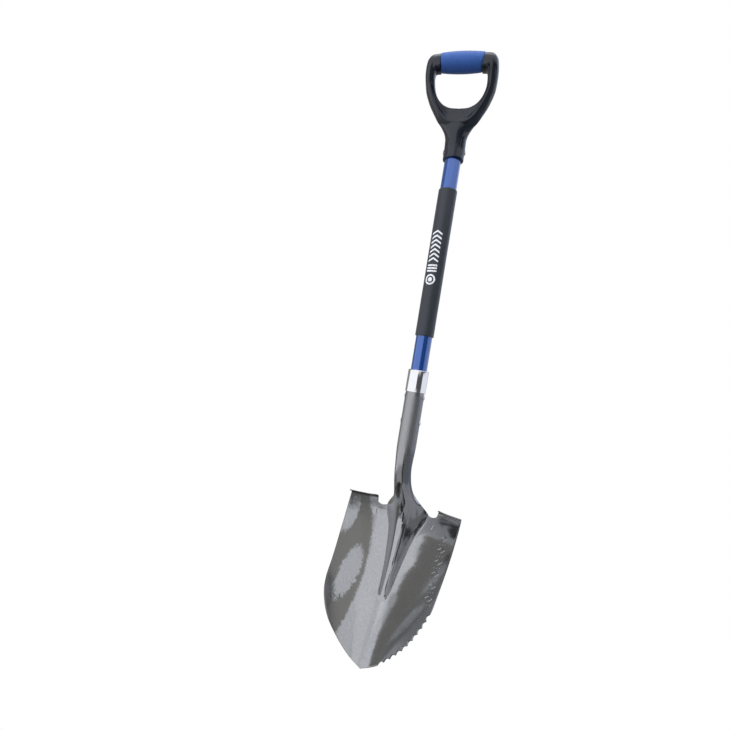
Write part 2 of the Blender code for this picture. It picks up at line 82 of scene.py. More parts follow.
# Height of the first, spacing and number
PRINT_BARS = (213 * MM, 5 * MM, 3)
PRINT_CHEVRONS = (230 * MM, 8 * MM, 7)
FERRULE_RADIUS = 18.0 * MM
FERRULE_TOP = 39 * MM
RIVET_HEAD_RADIUS = 4.2 * MM
RIVET_HEAD_HEIGHT = 1.5 * MM
SOCKET_RIVETS = {"socket_rivet_upper": -8 * MM, "socket_rivet_lower": -53 * MM}
GRIP_RIVET_HEIGHT = 429 * MM

# D-grip
COLLAR_RADIUS = 18.3 * MM
BAR_HEIGHT = 554 * MM
BAR_OFFSET = Vector((-2.2, -52, 0)) * MM
BAR_HALF_LENGTH = 34.6 * MM
BAR_SLEEVE_END_RADIUS = 14.6 * MM
BAR_SLEEVE_MIDDLE_RADIUS = 16.4 * MM
BAR_CORE_RADIUS = 11 * MM
BAR_SLEEVE_SLANT = 1.5 * MM
RIB_ANGLE = math.radians(44)
RIB_WIDTH = 5 * MM
LEAN_START = 430 * MM
LEAN_POWER = 1.3
# Stations round half of the loop: inner x, z, outer x, z, half depth at the crest, crest's share of
# the way out, half depth of the web beside the gap, and how much it keeps to the bar's plane
LOOP = [(0, 494.2, 0, 459, 14.5, 0.70, 6.5, 0), (14, 495, 17, 462, 14.5, 0.69, 6.5, 0),
        (25, 498.3, 31, 471, 14.5, 0.62, 7, 0), (33.5, 504, 42.5, 486, 14.5, 0.53, 8, 0),
        (39.5, 512.3, 53, 503, 14.5, 0.46, 9, 0), (42.8, 522, 59.2, 520, 14.5, 0.42, 10, 0),
        (43.6, 530.5, 60.8, 538, 14.5, 0.42, 11, 0.3), (42.8, 536.5, 58.4, 556, 14.6, 0.45, 12, 0.7),
        (40.2, 539.4, 49.5, 566.5, 14.6, 0.5, 13, 1), (33.6, 539.6, 36.4, 568.4, 14.4, 0.5, 13, 1)]
STEM = [(414.3, 18.3, 18.3), (436, 18.3, 18.3), (447, 18.4, 18), (456, 20.5, 17.4), (464, 25, 16.0),
        (472, 31, 13), (480, 35, 10), (487, 36, 7)]

# Blade: S runs down it from the shoulders, and depth is measured forward, square to S
SHEET_THICKNESS = 1.9 * MM
BLADE_LIFT = math.radians(33.6)
SINE, COSINE = math.sin(BLADE_LIFT), math.cos(BLADE_LIFT)
BLADE_START = (85 * MM, -222 * MM)
BLADE_LENGTH = 280 * MM
SOCKET_RADIUS = 15.65 * MM
NECK_RADIUS = 13.9 * MM
SEAM_HALF_ANGLE = math.radians(6)
STEP_WIDTH = 11 * MM
STEP_BEND_RADIUS = 3 * MM
STEP_ANGLE = math.radians(105)
TOOTH_COUNT = 9
TOOTH_DEPTH = 3.4 * MM
SERRATION = (0.545, 0.905)
OUTLINE = [(108, 0), (107, 30), (105.2, 60), (103, 88), (100.2, 116), (97.4, 142), (94.7, 167), (89.5, 189),
           (80, 211), (68, 230), (54, 245), (38, 259), (20, 271), (0, 280)]
FLOOR = [(0, -18), (40, -21), (100, -21), (150, -18), (180, -14), (211, -9.5), (245, -4.5), (280, 0)]
DISH_CURVATURE = [(0, 4.0), (60, 4.1), (110, 4.7), (166, 6.0), (211, 8.0), (245, 9.8), (280, 13)]
RIDGE_HEIGHT = [(0, 64), (12, 63), (18, 60.5), (24, 50.5), (32, 41.5), (42, 34.7), (54, 29.6), (67, 25.8),
                (82, 22.5), (108, 17), (130, 13.5), (150, 9.5), (162, 6), (168, 3), (175, 0), (280, 0)]
RIDGE_HALF_WIDTH = [(0, 41), (17, 39), (34, 33), (55, 27.5), (82, 22), (108, 17.5), (130, 14.5), (150, 12.5),
                    (174, 10.5), (192, 9), (280, 9)]
RIDGE_POWER = 2.2
SOCKET_FRONT = [(-15.65, 36), (-15.65, -100), (-14.2, -122), (-11, -140), (-3.5, -158), (7.5, -175),
                (19.5, -190), (30.5, -203), (40, -214)]
NARROWING = (-96 * MM, 42 * MM)
OPENING_SHARE = 0.46
OPENING_TILT = math.radians(16)
RIDGE_COLUMNS = 9
DISH_SHARES = [0.07, 0.17, 0.275, 0.30, 0.46, 0.64, 0.82, 1.0]
DISH_STEPS = [3, 4, 4, 3, 7, 8, 8, 8]
NARROW_RIDGE = 0.42
RIDGE_TOP_EDGE = (18, 5)
TOP_EDGE = [8, 9.5, 7.5, 0.5, 3.5, 7.0, 10.5, 14]
TOP_FADE = 70 * MM
FAN_MIDDLE = (138 * MM, 222 * MM)
FAN_START = 0.43
ROW_SAG = 1.4
MARK_COUNT = 12
MARK_START = 46 * MM
MARK_PITCH = 10.5 * MM
MARK_MIDDLE = 83.5 * MM
LOZENGE = (7.2 * MM, 4.8 * MM)
LOZENGE_BEAD = 1.1 * MM
PIP_SPACING = 5.2 * MM
PIP_BEAD = 1.0 * MM
KNURL_PITCH = 4.8 * MM
KNURL_HEIGHT = 0.30 * MM
KNURL_SLOPE = 0.7
KNURL_SPAN = (-112 * MM, -4 * MM)
KNURL_END_FADES = (22 * MM, 5 * MM)
KNURL_HALF_ANGLE = math.radians(160)
KNURL_SIDE_FADE = math.radians(14)
ROW_STEP = 1.6 * MM
STEP_COLUMN = RIDGE_COLUMNS + 4
# Faint waves that the press leaves in the sheet below WAVE_TOP: height and scale
PRESS_WAVES = [(0.22 * MM, 22), (0.08 * MM, 60)]
WAVE_TOP = -225 * MM

# Painted reflection on the dish, a darker field, in metres: its edge crosses X = -side at the given level
# and bows away from there
PAINTED_REFLECTION_SIDE = 0.044
PAINTED_REFLECTION_LEVEL = -0.36
PAINTED_REFLECTION_SLOPE = 0.013
PAINTED_REFLECTION_BOW = 1.79
# Brighter patches of painted reflection in the darker field: middle X and Z, half width and half height
PAINTED_REFLECTION_PATCHES = [(-97, -253, 11, 29), (-67, -338, 15, 34)]

# Camera, in the shaft's frame
CAMERA_PLACE = (0.1929, -0.7785, 0.0306)
CAMERA_AZIMUTH = math.radians(20.8)
CAMERA_ROLL = math.radians(9.24)
CAMERA_LENS = 22.19
CAMERA_SHIFT = (0.0008, 0.0017)
FLOOR_DROP = 0.28
ROOM_SIZE = 30.0
SLANT_LEVEL = 34.0


# ---- Curves on tables

def curve(points, values):
    """Smooth curve through (position, value) pairs that never swings past them, flat past its ends."""
    xs, ys = np.array(points, float).T
    rises = np.diff(ys) / np.diff(xs)
    before, after = np.concatenate([rises[:1], rises]), np.concatenate([rises, rises[-1:]])
    product, total = before * after, before + after
    slopes = np.where(product > 0, 2 * product / np.where(total == 0, 1, total), 0)
    values = np.clip(np.asarray(values, float), xs[0], xs[-1])
    i = np.clip(np.searchsorted(xs, values, side="right") - 1, 0, len(xs) - 2)
    step = xs[i + 1] - xs[i]
    t = (values - xs[i]) / step
    return ((1 + 2 * t) * (1 - t) ** 2 * ys[i] + t * (1 - t) ** 2 * step * slopes[i]
            + t * t * (3 - 2 * t) * ys[i + 1] + t * t * (t - 1) * step * slopes[i + 1])


def along(points, fractions):
    """Points at fractions of the length of a smooth open curve through 2-D points."""
    points = np.array(points, float)
    lengths = np.concatenate([[0], np.cumsum(np.hypot(*np.diff(points, axis=0).T))])
    where = np.asarray(fractions) * lengths[-1]
    return [curve(np.stack([lengths, points[:, k]], 1), where) for k in range(2)]


def smoothstep(values):
    values = np.clip(values, 0, 1)
    return values * values * (3 - 2 * values)


# ---- Meshes

def linked(name, data):
    """A new object in the scene."""
    obj = bpy.data.objects.new(name, data)
    bpy.context.collection.objects.link(obj)
    return obj


def mesh_object(name, vertices, faces, finish, place=SHAFT, sharp=None):
    mesh = bpy.data.meshes.new(name)
    mesh.from_pydata([tuple(v) for v in vertices], [], faces)
    bm = bmesh.new()
    bm.from_mesh(mesh)
    bmesh.ops.remove_doubles(bm, verts=bm.verts, dist=1e-6)
    bmesh.ops.recalc_face_normals(bm, faces=bm.faces)
    bm.to_mesh(mesh)
    bm.free()
    mesh.shade_smooth()
    if sharp:
        mesh.set_sharp_from_angle(angle=math.radians(sharp))
    obj = linked(name, mesh)
    obj.data.materials.append(finish)
    obj.matrix_world = place
    return obj


def circle(count):
    """Cosine and sine at even steps round a full turn."""
    angles = [2 * math.pi * k / count for k in range(count)]
    return [(math.cos(angle), math.sin(angle)) for angle in angles]


def ring_faces(rings, count, first=0, closed=True):
    """Faces that join rings of count vertices each, in a closed loop or with a cap at each end."""
    faces = []
    for k in range(rings if closed else rings - 1):
        a, b = first + k * count, first + (k + 1) % rings * count
        for i in range(count):
            j = (i + 1) % count
            faces.append((a + i, a + j, b + j, b + i))
    if not closed:
        faces.append(tuple(first + k for k in reversed(range(count))))
        faces.append(tuple(first + (rings - 1) * count + k for k in range(count)))
    return faces


def turned(name, profile, finish, sides=128, place=SHAFT, bump=None):
    """Closed (radius, height) profile turned about Z. bump(angle, height) adds to the radius."""
    vertices = []
    for k, (cosine, sine) in enumerate(circle(sides)):
        for radius, height in profile:
            if bump and radius > 0:
                radius += bump(2 * math.pi * k / sides, height)
            vertices.append((radius * cosine, radius * sine, height))
    return mesh_object(name, vertices, ring_faces(sides, len(profile)), finish, place, 35)


def rounded(profile, radius, steps=4):
    """The closed profile with each listed corner rounded; radius is one number per point."""
    result = []
    count = len(profile)
    for i, (point, size) in enumerate(zip(profile, radius)):
        here, before, after = (Vector(p) for p in (point, profile[i - 1], profile[(i + 1) % count]))
        if size <= 0:
            result.append(tuple(here))
            continue
        first = here + (before - here).normalized() * size
        last = here + (after - here).normalized() * size
        for k in range(steps + 1):
            t = k / steps
            result.append(tuple(first * (1 - t) ** 2 + here * 2 * t * (1 - t) + last * t * t))
    return result


def cylinder_patch(vertices, faces, shape, radius, depth, steps, turn=0.0):
    """Adds a thin closed patch that follows a cylinder. shape(u, v) gives arc length and height."""
    across, up = steps
    first = len(vertices)
    for level in (0, 1):
        for i in range(up + 1):
            for k in range(across + 1):
                arc, height = shape(k / across, i / up)
                angle = turn + arc / radius(arc, height)
                r = radius(arc, height) - (depth if level else 0)
                vertices.append((r * math.sin(angle), -r * math.cos(angle), height))
    width, layer = across + 1, (across + 1) * (up + 1)
    for i in range(up):
        for k in range(across):
            a = first + i * width + k
            faces.append((a, a + 1, a + 1 + width, a + width))
            faces.append((a + layer, a + layer + width, a + layer + 1 + width, a + layer + 1))
    rim = list(range(width)) + [i * width + across for i in range(1, up + 1)]
    rim += [up * width + k for k in range(across - 1, -1, -1)] + [i * width for i in range(up - 1, 0, -1)]
    for a, b in zip(rim, rim[1:] + rim[:1]):
        faces.append((first + a, first + a + layer, first + b + layer, first + b))


def modifier(obj, kind, **settings):
    mod = obj.modifiers.new(kind.lower(), kind)
    for key, value in settings.items():
        setattr(mod, key, value)
    return mod


def apply_modifiers(obj):
    """Bakes the object's modifiers into its mesh."""
    graph = bpy.context.evaluated_depsgraph_get()
    graph.update()
    mesh = bpy.data.meshes.new_from_object(obj.evaluated_get(graph))
    obj.modifiers.clear()
    old = obj.data
    obj.data = mesh
    bpy.data.meshes.remove(old)
    return obj


def show(obj, slot, *nodes):
    """The piece moves with the shovel and stands for CAD nodes, which it hides. The slot is not used."""
    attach(obj, "root")
    if nodes:
        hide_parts(*nodes)


# ---- Materials

def rgba(value):
    """A colour, or a grey given as one number, with full alpha."""
    return (*(value if isinstance(value, tuple) else (value,) * 3), 1)


class Tree:
    """A node tree, with short calls to add to it."""

    def __init__(self, tree):
        self.tree = tree

    def add(self, kind, inputs=None, **settings):
        node = self.tree.nodes.new(kind)
        for key, value in settings.items():
            setattr(node, key, value)
        for key, value in (inputs or {}).items():
            node.inputs[key].default_value = value
        return node

    def link(self, output, target):
        self.tree.links.new(output, target)

    def math(self, operation, *values):
        node = self.add("ShaderNodeMath", operation=operation)
        for socket, value in zip(node.inputs, values):
            if isinstance(value, bpy.types.NodeSocket):
                self.link(value, socket)
            else:
                socket.default_value = value
        return node.outputs[0]

    def split(self, vector):
        parts = self.add("ShaderNodeSeparateXYZ")
        self.link(vector, parts.inputs[0])
        return parts.outputs

    def mix(self, share, first, second, blend="MIX"):
        node = self.add("ShaderNodeMix", data_type="RGBA", blend_type=blend)
        for socket, value in (("Factor", share), ("A", first), ("B", second)):
            target = next(s for s in node.inputs if s.name == socket and s.enabled)
            if isinstance(value, bpy.types.NodeSocket):
                self.link(value, target)
            else:
                target.default_value = value if socket == "Factor" else rgba(value)
        return next(s for s in node.outputs if s.enabled)


class Nodes(Tree):
    """A material's node tree."""

    def __init__(self, name, **inputs):
        self.material = bpy.data.materials.new(name)
        self.material.use_nodes = True
        super().__init__(self.material.node_tree)
        self.shader = self.tree.nodes["Principled BSDF"]
        for key, value in inputs.items():
            self.shader.inputs[key.replace("_", " ")].default_value = value
        self.coordinates = self.add("ShaderNodeTexCoord").outputs["Object"]

    def mapped(self, output, kind, inputs, vector=None):
        """An output of a node that works on the object's coordinates or on a vector made from them."""
        node = self.add(kind, inputs)
        self.link(vector or self.coordinates, node.inputs["Vector"])
        return node.outputs[output]

    def scaled(self, scale):
        return self.mapped("Vector", "ShaderNodeMapping", {"Scale": scale})

    def noise(self, scale, detail=3.0, roughness=0.55, vector=None, distortion=0.0):
        inputs = {"Scale": scale, "Detail": detail, "Roughness": roughness, "Distortion": distortion}
        return self.mapped("Fac", "ShaderNodeTexNoise", inputs, vector)

    def voronoi(self, scale):
        return self.mapped("Distance", "ShaderNodeTexVoronoi", {"Scale": scale})

    def ramp(self, value, *stops):
        """Colour ramp from (position, colour or grey) stops."""
        node = self.add("ShaderNodeValToRGB")
        elements = node.color_ramp.elements
        while len(elements) < len(stops):
            elements.new(1.0)
        for element, (position, colour) in zip(elements, stops):
            element.position = position
            element.color = rgba(colour)
        self.link(value, node.inputs["Fac"])
        return node.outputs["Color"]

    def fade(self, value, factor, offset):
        """value * factor + offset, held between 0 and 1."""
        return self.ramp(self.math("MULTIPLY_ADD", value, factor, offset), (0.0, 0.0), (1.0, 1.0))

    def bump(self, height, distance, previous=None):
        node = self.add("ShaderNodeBump", {"Distance": distance, "Strength": 1.0})
        self.link(height, node.inputs["Height"])
        if previous:
            self.link(previous, node.inputs["Normal"])
        return node.outputs["Normal"]

    def finish(self, colour=None, roughness=None, normal=None):
        for output, socket in ((colour, "Base Color"), (roughness, "Roughness"), (normal, "Normal")):
            if output:
                self.link(output, self.shader.inputs[socket])
        return self.material


def painted_reflection_share(n, x, z, ragged):
    """1 on the side of the dish darkened by a painted reflection, and 0 off it and on the brighter patches
    of painted reflection in it.
    """
    fall = n.math("ADD", z, -PAINTED_REFLECTION_LEVEL)
    bow = n.math("MULTIPLY", n.math("MULTIPLY", fall, fall), PAINTED_REFLECTION_BOW)
    line = n.math("ADD", n.math("ADD", x, PAINTED_REFLECTION_SIDE), n.math("MULTIPLY_ADD", fall, -PAINTED_REFLECTION_SLOPE, bow))
    line = n.math("ADD", line, n.math("MULTIPLY", ragged, 0.012))
    painted_reflection = n.fade(line, -300.0, 0.5)
    for middle_x, middle_z, half_x, half_z in PAINTED_REFLECTION_PATCHES:
        across = n.math("DIVIDE", n.math("SUBTRACT", x, middle_x * MM), half_x * MM)
        along_it = n.math("DIVIDE", n.math("SUBTRACT", z, middle_z * MM), half_z * MM)
        squares = [n.math("MULTIPLY", part, part) for part in (across, along_it)]
        away = n.math("SQRT", n.math("ADD", *squares))
        outside = n.fade(n.math("ADD", away, ragged), 6.0, -5.5)
        painted_reflection = n.mix(1.0, painted_reflection, outside, "MULTIPLY")
    return painted_reflection


def step_painted_shade_share(n, x, y, z, ragged):
    """1 on the painted shade of the turned steps, above the blade's top line and away from the neck."""
    start_y, start_z = BLADE_START
    down = n.math("ADD", n.math("MULTIPLY_ADD", z, -COSINE, COSINE * start_z),
                  n.math("MULTIPLY_ADD", y, -SINE, SINE * start_y))
    # This mask is painted shade on the turned steps and their bend
    scale = n.fade(n.math("ADD", down, n.math("MULTIPLY", ragged, 0.002)), -700.0, 0.9)
    outer = n.fade(n.math("ABSOLUTE", x), 400.0, -23.0)
    return n.mix(1.0, scale, outer, "MULTIPLY")


def coated_steel():
    """Stamped steel under clear lacquer: faint rolling marks, scuffs and a slightly uneven skin.

    One side of the dish has a painted reflection, a darker and duller field with brighter patches; the
    turned steps have painted shade, and the socket is duller.
    """
    n = Nodes("coated_steel", Metallic=1.0, Coat_Weight=0.6, Coat_Roughness=0.05)
    cloud = n.noise(22, 4)
    ragged = n.math("MULTIPLY", n.math("SUBTRACT", n.noise(170, 8, 0.8), 0.5), 1.5)
    x, y, z = n.split(n.coordinates)
    brushed = n.noise(60, 4, 0.7, n.scaled((6, 6, 0.35)))
    # Masks of the painted reflection on the dish and the painted shade on the turned steps
    painted_reflection, scale = painted_reflection_share(n, x, z, ragged), step_painted_shade_share(n, x, y, z, ragged)
    socket = n.fade(z, 12.0, 2.3)

    colour = n.mix(cloud, (0.36, 0.365, 0.375), (0.44, 0.445, 0.46))
    colour = n.mix(n.ramp(brushed, (0.30, 0.0), (0.75, 0.6)), colour, (0.27, 0.275, 0.28))
    # Darker field of painted reflection on one side of the dish, with its brighter patches left out
    colour = n.mix(painted_reflection, colour, (0.165, 0.16, 0.15))
    # Painted shade along the turned steps and their bend
    colour = n.mix(scale, colour, (0.055, 0.055, 0.06))
    colour = n.mix(socket, colour, (0.32, 0.32, 0.33))

    rough = n.mix(cloud, 0.09, 0.15)
    rough = n.mix(scale, rough, 0.35)
    rough = n.mix(painted_reflection, rough, 0.22)
    rough = n.mix(socket, rough, 0.28)
    wave = n.bump(n.noise(34, 2, 0.5), 0.00025)
    skin = n.bump(n.noise(150, 3, 0.6), 0.00007, wave)
    grain = n.bump(n.noise(420, 5, 0.7), 0.000006, skin)
    return n.finish(colour, rough, grain)


def rivet_steel():
    n = Nodes("rivet_steel", Metallic=0.55)
    colour = n.mix(n.noise(260, 3), (0.70, 0.70, 0.71), (0.82, 0.82, 0.83))
    rough = n.mix(n.noise(500, 4), 0.35, 0.5)
    return n.finish(colour, rough, n.bump(n.noise(900, 3), 0.00003))


def chrome():
    n = Nodes("chrome", Metallic=1.0)
    smear = n.noise(26, 5, 0.7, n.scaled((1, 1, 0.4)), 0.8)
    colour = n.mix(smear, (0.78, 0.785, 0.80), (0.90, 0.905, 0.915))
    rough = n.mix(smear, 0.035, 0.12)
    return n.finish(colour, rough, n.bump(n.noise(120, 2), 0.00003))


def blue_paint():
    """Deep gloss paint with a little flake, orange peel and dust."""
    n = Nodes("blue_paint", Coat_Weight=1.0, Coat_Roughness=0.03, Coat_IOR=1.75, Metallic=0.5)
    flake = n.voronoi(2200)
    colour = n.mix(flake, (0.004, 0.062, 0.30), (0.008, 0.090, 0.40))
    dust = n.ramp(n.noise(60, 6, 0.8), (0.60, 0.0), (0.80, 1.0))
    colour = n.mix(dust, colour, (0.014, 0.09, 0.34))
    rough = n.mix(dust, 0.10, 0.20)
    peel = n.bump(n.noise(240, 2), 0.00003)
    return n.finish(colour, rough, peel)


def foam():
    """Closed-cell foam: fine open pores, darkened with painted shade, on a soft, faintly mottled skin."""
    n = Nodes("foam", Sheen_Weight=0.15, Sheen_Roughness=0.5, Specular_IOR_Level=0.6)
    mottle = n.noise(45, 4)
    pores = n.voronoi(900)
    cells = n.voronoi(380)
    colour = n.mix(mottle, (0.009, 0.014, 0.022), (0.015, 0.021, 0.031))
    # Painted shade in the pores
    painted_pore_shade = n.ramp(pores, (0.10, 1.0), (0.34, 0.0))
    colour = n.mix(painted_pore_shade, colour, (0.008, 0.010, 0.014))
    rough = n.mix(mottle, 0.34, 0.44)
    relief = n.bump(cells, 0.00008, previous=n.bump(pores, 0.00007))
    return n.finish(colour, rough, relief)


def white_ink():
    n = Nodes("white_ink", Roughness=0.6)
    wear = n.ramp(n.noise(700, 5, 0.8), (0.30, 0.0), (0.52, 1.0))
    colour = n.mix(wear, (0.30, 0.34, 0.38), (0.80, 0.82, 0.85))
    return n.finish(colour, None, n.bump(n.voronoi(900), 0.00008))


def black_plastic():
    """Moulded plastic with a fine spark-eroded grain and a few handling marks."""
    n = Nodes("black_plastic", Specular_IOR_Level=0.4, Coat_Weight=0.6, Coat_Roughness=0.10, Coat_IOR=1.45)
    tone = n.noise(28, 4)
    colour = n.mix(tone, (0.003, 0.006, 0.013), (0.006, 0.010, 0.019))
    scratches = n.ramp(n.noise(120, 7, 0.85, n.scaled((1, 1, 4)), 1.5), (0.66, 0.0), (0.74, 1.0))
    colour = n.mix(scratches, colour, (0.035, 0.038, 0.045))
    rough = n.mix(tone, 0.25, 0.31)
    rough = n.mix(scratches, rough, 0.52)
    grain = n.bump(n.voronoi(1500), 0.00002)
    return n.finish(colour, rough, grain)


def blue_soft():
    """Soft-touch rubber over the bar, matt and a little rubbed."""
    n = Nodes("blue_soft", Sheen_Weight=0.35, Sheen_Roughness=0.4, Specular_IOR_Level=0.35)
    tone = n.noise(50, 5, 0.65)
    colour = n.mix(tone, (0.020, 0.082, 0.31), (0.032, 0.108, 0.39))
    rubbed = n.ramp(n.noise(160, 6, 0.8), (0.58, 0.0), (0.75, 1.0))
    colour = n.mix(rubbed, colour, (0.065, 0.16, 0.52))
    rough = n.mix(tone, 0.46, 0.62)
    return n.finish(colour, rough, n.bump(n.voronoi(1300), 0.00007))


def core_wood():
    n = Nodes("core_wood", Roughness=0.7)
    rings = n.add("ShaderNodeTexWave", {"Scale": 160, "Distortion": 3, "Detail": 3},
                  wave_type="RINGS", rings_direction="Z")
    n.link(n.scaled((1, 1, 0.08)), rings.inputs["Vector"])
    colour = n.mix(rings.outputs["Fac"], (0.42, 0.27, 0.13), (0.62, 0.44, 0.25))
    return n.finish(colour, None, n.bump(rings.outputs["Fac"], 0.0002))


# ---- Blade

def blade_point(x, s):
    """Points of the blade's surface in the shaft's frame, from arrays of X and S."""
    key = s / MM
    depth = curve(FLOOR, key) * MM + curve(DISH_CURVATURE, key) * x * x
    share = np.minimum(np.abs(x) / (curve(RIDGE_HALF_WIDTH, key) * MM), 1)
    depth = depth + curve(RIDGE_HEIGHT, key) * MM * (1 - share ** RIDGE_POWER) ** 2
    y, z = BLADE_START
    return np.stack([x, y - SINE * s - COSINE * depth, z - COSINE * s + SINE * depth], -1)


def half_columns(ridge_steps):
    """Column positions outward from the middle, in the CAD's own column numbers."""
    columns = list(np.arange(RIDGE_COLUMNS * ridge_steps + 1) / ridge_steps)
    for k, steps in enumerate(DISH_STEPS):
        columns += [RIDGE_COLUMNS + k + (i + 1) / steps for i in range(steps)]
    return np.array(columns)


def top_edge(columns):
    """S of the sheet's top edge at each column."""
    middle, side = RIDGE_TOP_EDGE
    ridge = middle + (side - middle) * np.minimum(columns / RIDGE_COLUMNS, 1) ** 2
    numbers = [RIDGE_COLUMNS + k for k in range(len(TOP_EDGE) + 1)]
    dish = curve(list(zip(numbers, [side] + TOP_EDGE)), columns)
    return np.where(columns <= RIDGE_COLUMNS, ridge, dish) * MM


def row_line(columns, s_middle, half_width, s_edge, fade):
    """Half of one row across the blade: arrays of X and S."""
    ridge = min(float(curve(RIDGE_HALF_WIDTH, s_middle / MM)) * MM, NARROW_RIDGE * half_width)
    numbers = [RIDGE_COLUMNS + k for k in range(len(DISH_SHARES) + 1)]
    dish = np.interp(columns, numbers, [0] + DISH_SHARES)
    x = np.where(columns <= RIDGE_COLUMNS, ridge * columns / RIDGE_COLUMNS,
                 ridge + (half_width - ridge) * dish)
    share = x / half_width if half_width > 0 else x
    return x, s_middle + (s_edge - s_middle) * share ** ROW_SAG + top_edge(columns) * fade


def tooth_pull(share):
    """How far the toothed edge is cut back at a share of the outline."""
    start, end = SERRATION
    if not start < share < end:
        return 0.0
    phase = (share - start) / (end - start) * (TOOTH_COUNT + 1)
    return TOOTH_DEPTH * abs(math.sin(math.pi * phase)) ** 1.2


def blade_rows(columns):
    """Rows down both halves of the blade, as (left half, right half) of (X, S) pairs."""
    outline = [(w * MM, s * MM) for w, s in OUTLINE]
    side = [(v, w) for w, v in OUTLINE[:8]]
    first, last = FAN_MIDDLE
    rows = []
    for s in np.linspace(0, first, round(first / ROW_STEP), endpoint=False):
        fade = max(0, 1 - s / TOP_FADE)
        edge_s = s + float(top_edge(columns)[-1]) * fade
        line = row_line(columns, s, float(curve(side, edge_s / MM)) * MM, s, fade)
        rows.append((line, line))
    for share in np.linspace(FAN_START, 1, 190):
        width, s_edge = (float(v) for v in along(outline, share))
        middle = first + (last - first) * (share - FAN_START) / (1 - FAN_START)
        x, s = row_line(columns, middle, max(width, 0), s_edge, 0)
        if share == 1:
            s = last + (BLADE_LENGTH - last) * columns / columns[-1]
            x = x * 0
        toothed = (x, s)
        pull = tooth_pull(share)
        if pull > 0:
            reach = np.clip(columns - columns[-1] + 1, 0, 1) ** 2
            inner = np.searchsorted(columns, columns[-1] - 1)
            way = np.array([x[inner] - x[-1], s[inner] - s[-1]])
            way = way / np.hypot(*way) * pull
            toothed = (x + way[0] * reach, s + way[1] * reach)
        rows.append(((x, s), toothed))
    return rows


def neck_rows(section, columns, shares):
    """Rows of the neck and socket above the blade's top row, at shares of their length."""
    middle = len(section) // 2
    front = [(y * MM, z * MM) for y, z in SOCKET_FRONT]
    offsets = section - section[middle]
    shift = section[middle] - np.array((0, *front[-1]))
    angle = columns / RIDGE_COLUMNS * (math.pi - SEAM_HALF_ANGLE)
    rows = []
    for share in shares:
        y, z = (float(v) for v in along(front, 1 - share))
        opening = float(smoothstep(1 - share ** 0.8 / OPENING_SHARE))
        opened = opening ** 1.5
        tight = float(smoothstep((NARROWING[0] - z) / NARROWING[1]))
        radius = SOCKET_RADIUS + (NECK_RADIUS - SOCKET_RADIUS) * tight
        tilt = -OPENING_TILT * opening
        back = np.array((0, math.cos(tilt), math.sin(tilt)))
        rolled = np.stack([radius * np.sin(angle), 0 * angle, 0 * angle], -1)
        rolled = rolled + back * (radius * (1 - np.cos(angle)))[:, None]
        rows.append(np.array((0, y, z)) + shift * opened + rolled * (1 - opened) + offsets * opened)
    return rows


def knurl(points, columns):
    """How far the knurling lifts the socket's skin at each point."""
    angle = columns / RIDGE_COLUMNS * (math.pi - SEAM_HALF_ANGLE)
    z = points[..., 2]
    around = angle * SOCKET_RADIUS
    first = np.cos(2 * math.pi * (around + z * KNURL_SLOPE) / KNURL_PITCH)
    second = np.cos(2 * math.pi * (around - z * KNURL_SLOPE) / KNURL_PITCH)
    low, high = KNURL_SPAN
    ends = smoothstep((high - z) / KNURL_END_FADES[1]) * smoothstep((z - low) / KNURL_END_FADES[0])
    sides = smoothstep((KNURL_HALF_ANGLE - np.abs(angle)) / KNURL_SIDE_FADE)
    return KNURL_HEIGHT * (first * 0.8 + second * 0.4) * ends * sides


def relax(grid, shares, passes):
    """Evens out the inner points of a grid of points, each by its own share."""
    for _ in range(passes):
        mean = (grid[:-2, 1:-1] + grid[2:, 1:-1] + grid[1:-1, :-2] + grid[1:-1, 2:]) / 4
        grid[1:-1, 1:-1] += (mean - grid[1:-1, 1:-1]) * 0.5 * shares[1:-1, None, None]
    return grid


class Sheet:
    """Vertices and faces of a surface that is put together from rows of points."""

    def __init__(self):
        self.vertices, self.faces = [], []

    def row(self, points):
        first = len(self.vertices)
        self.vertices.extend(points)
        return list(range(first, len(self.vertices)))

    def strip(self, above, below):
        for c in range(len(above) - 1):
            self.faces.append((above[c], above[c + 1], below[c + 1], below[c]))

    def narrowing_strip(self, above, below, ratio):
        """Joins a row to one with a vertex for every few of its own."""
        for c in range(len(below) - 1):
            fine = above[c * ratio:(c + 1) * ratio + 1]
            self.faces.append((*fine, below[c + 1], below[c]))


def step_rows(points, down):
    """Rows of a turned step, folded forward from the sheet's top edge."""
    forward = np.array((0, -COSINE, SINE))
    rows = []
    bends = 10
    for k in range(1, bends + 1):
        angle = STEP_ANGLE * k / bends
        rows.append(points + STEP_BEND_RADIUS * (-math.sin(angle) * down + (1 - math.cos(angle)) * forward))
    flat = rows[-1]
    for k in range(1, 9):
        away = -math.cos(STEP_ANGLE) * down + math.sin(STEP_ANGLE) * forward
        rows.append(flat + STEP_WIDTH * k / 8 * away)
    return rows


def socket_shares():
    """Places of the socket's rows, closer together once the neck is past and the knurling starts."""
    neck_length, neck_step, knurl_step = 130 * MM, 1.7 * MM, 0.7 * MM
    length = sum(math.dist(a, b) for a, b in zip(SOCKET_FRONT, SOCKET_FRONT[1:])) * MM
    straight = neck_length / length
    return np.concatenate([np.linspace(0, straight, round(straight * length / neck_step))[1:],
                           np.linspace(straight, 1, round((1 - straight) * length / knurl_step))[1:]])


def even_join(grid, neck, shares, inner):
    """Evens out the bend between the ridge and the neck, in place."""
    below, reach = 30, 0.25
    above = int(np.searchsorted(shares, reach))
    block = np.concatenate([neck[:above][::-1], grid[:below, inner]])
    fading = np.concatenate([smoothstep(1 - shares[:above] / reach)[::-1],
                             smoothstep(1 - np.arange(below) / below)])
    block = relax(block, fading, 160)
    neck[:above] = block[:above][::-1]
    grid[:below, inner] = block[above:]


